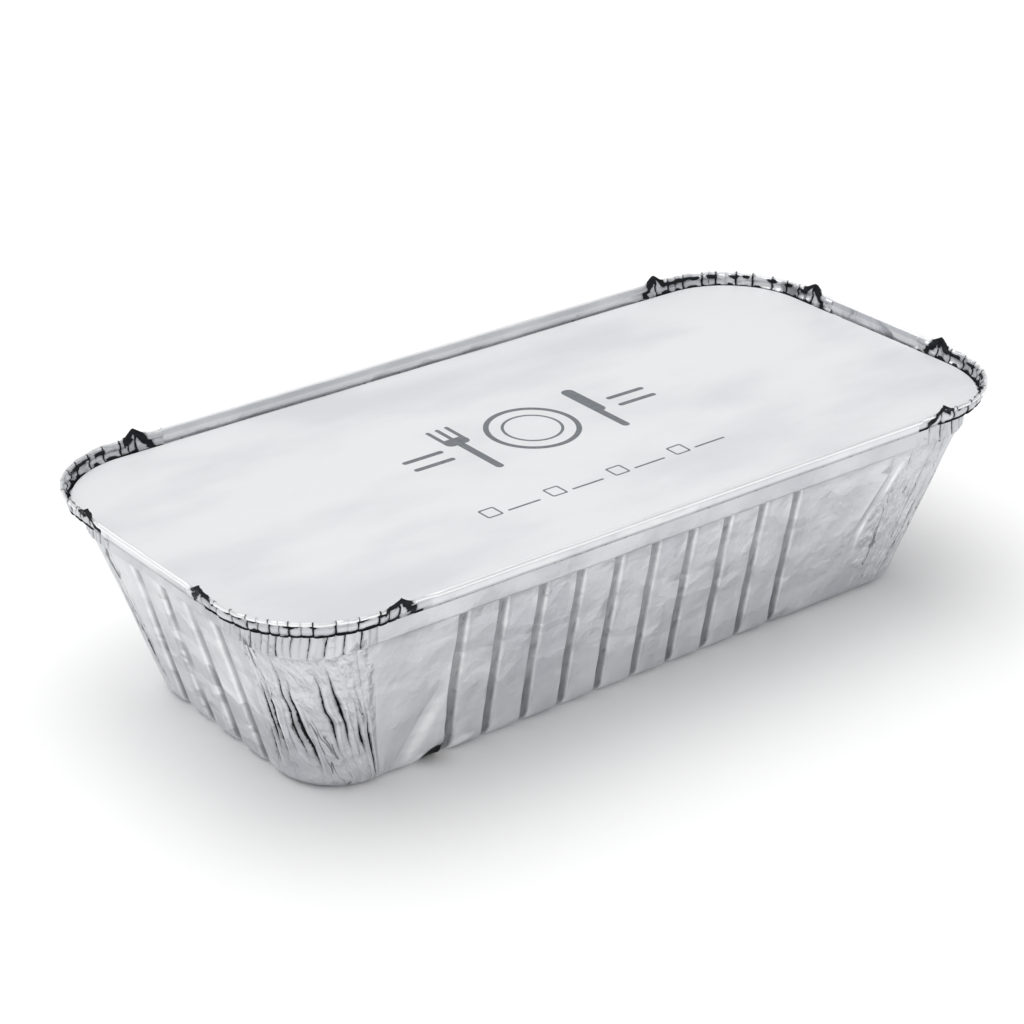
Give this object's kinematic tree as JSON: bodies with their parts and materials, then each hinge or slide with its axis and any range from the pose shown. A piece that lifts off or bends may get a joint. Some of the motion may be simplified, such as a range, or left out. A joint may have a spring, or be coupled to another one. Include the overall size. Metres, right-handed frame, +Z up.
{
  "type": "foil food container",
  "caption": "Oblong foil tray with fluted sloping walls, gathered corners, stepped shoulder and pleated upstanding rim, with a flat card lid lying inside the rim.",
  "frame": {"origin": "middle of the base, on the surface that the container stands on", "axes": "+X along the container's length, +Y across its width, +Z up"},
  "size_m": [0.2102, 0.1022, 0.0514],
  "materials": {
    "foil": "satin rolled foil",
    "lid_card": "white coated card"
  },
  "bodies": {
    "root": {"tray": "foil", "lid": "lid_card"}
  },
  "joints": []
}
